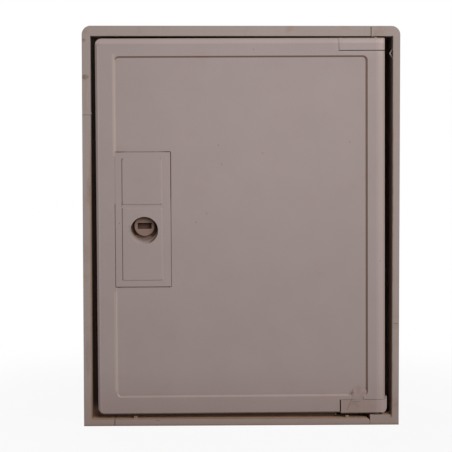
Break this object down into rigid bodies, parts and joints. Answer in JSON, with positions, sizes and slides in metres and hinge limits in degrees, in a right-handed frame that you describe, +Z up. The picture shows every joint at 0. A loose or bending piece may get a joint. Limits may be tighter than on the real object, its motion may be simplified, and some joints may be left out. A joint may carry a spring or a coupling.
{
  "type": "gas meter box",
  "caption": "Moulded plastic gas meter box with a rimmed casing, a flush hinged door, a quarter-turn key lock, a wall-fixed back and a steel meter bracket.",
  "frame": {"origin": "middle of the casing's outline, on the plane of its underside", "axes": "+Z up, +Y from the front to the wall, +X to the right as seen from the front"},
  "size_m": [0.4, 0.2, 0.505],
  "materials": {
    "casing_plastic": "moulded, fine grain, grey beige, a little stained",
    "door_plastic": "moulded, fine grain, grey beige, lightly scuffed",
    "lock_plastic": "moulded, darker grey brown",
    "bracket_steel": "zinc plated sheet",
    "pin_steel": "bright drawn steel",
    "zinc_screw": "zinc plated",
    "washer_nylon": "plain dark nylon"
  },
  "bodies": {
    "casing": {"left_and_top_panel": "casing_plastic", "right_side_panel": "casing_plastic", "bottom_panel": "casing_plastic", "bottom_front_strip": "casing_plastic", "back_panel": "casing_plastic", "back_panel_screws": "zinc_screw", "strip_screws": "zinc_screw", "meter_bracket": "bracket_steel", "bracket_screws": "zinc_screw", "hinge_washer": "washer_nylon"},
    "door": {"door_panel": "door_plastic", "lock_plate": "door_plastic", "upper_hinge_block": "door_plastic", "lower_hinge_block": "door_plastic", "upper_hinge_pin": "pin_steel", "lower_hinge_pin": "pin_steel", "hinge_block_screws": "zinc_screw", "lock_housing": "lock_plastic", "housing_screws": "zinc_screw"},
    "lock": {"lock_core": "lock_plastic", "lock_tongue": "bracket_steel", "tongue_washer": "zinc_screw", "tongue_screw": "zinc_screw"}
  },
  "joints": [
    {"name": "door_hinge", "type": "hinge", "parent": "casing", "child": "door", "pos_m": [0.1722, -0.089, 0.0123], "axis": [-0.004, 0, 1], "range_deg": [0, 105]},
    {"name": "lock_turn", "type": "hinge", "parent": "door", "child": "lock", "pos_m": [-0.12277, -0.091, 0.25382], "axis": [0, 1, 0], "range_deg": [0, 90]}
  ]
}
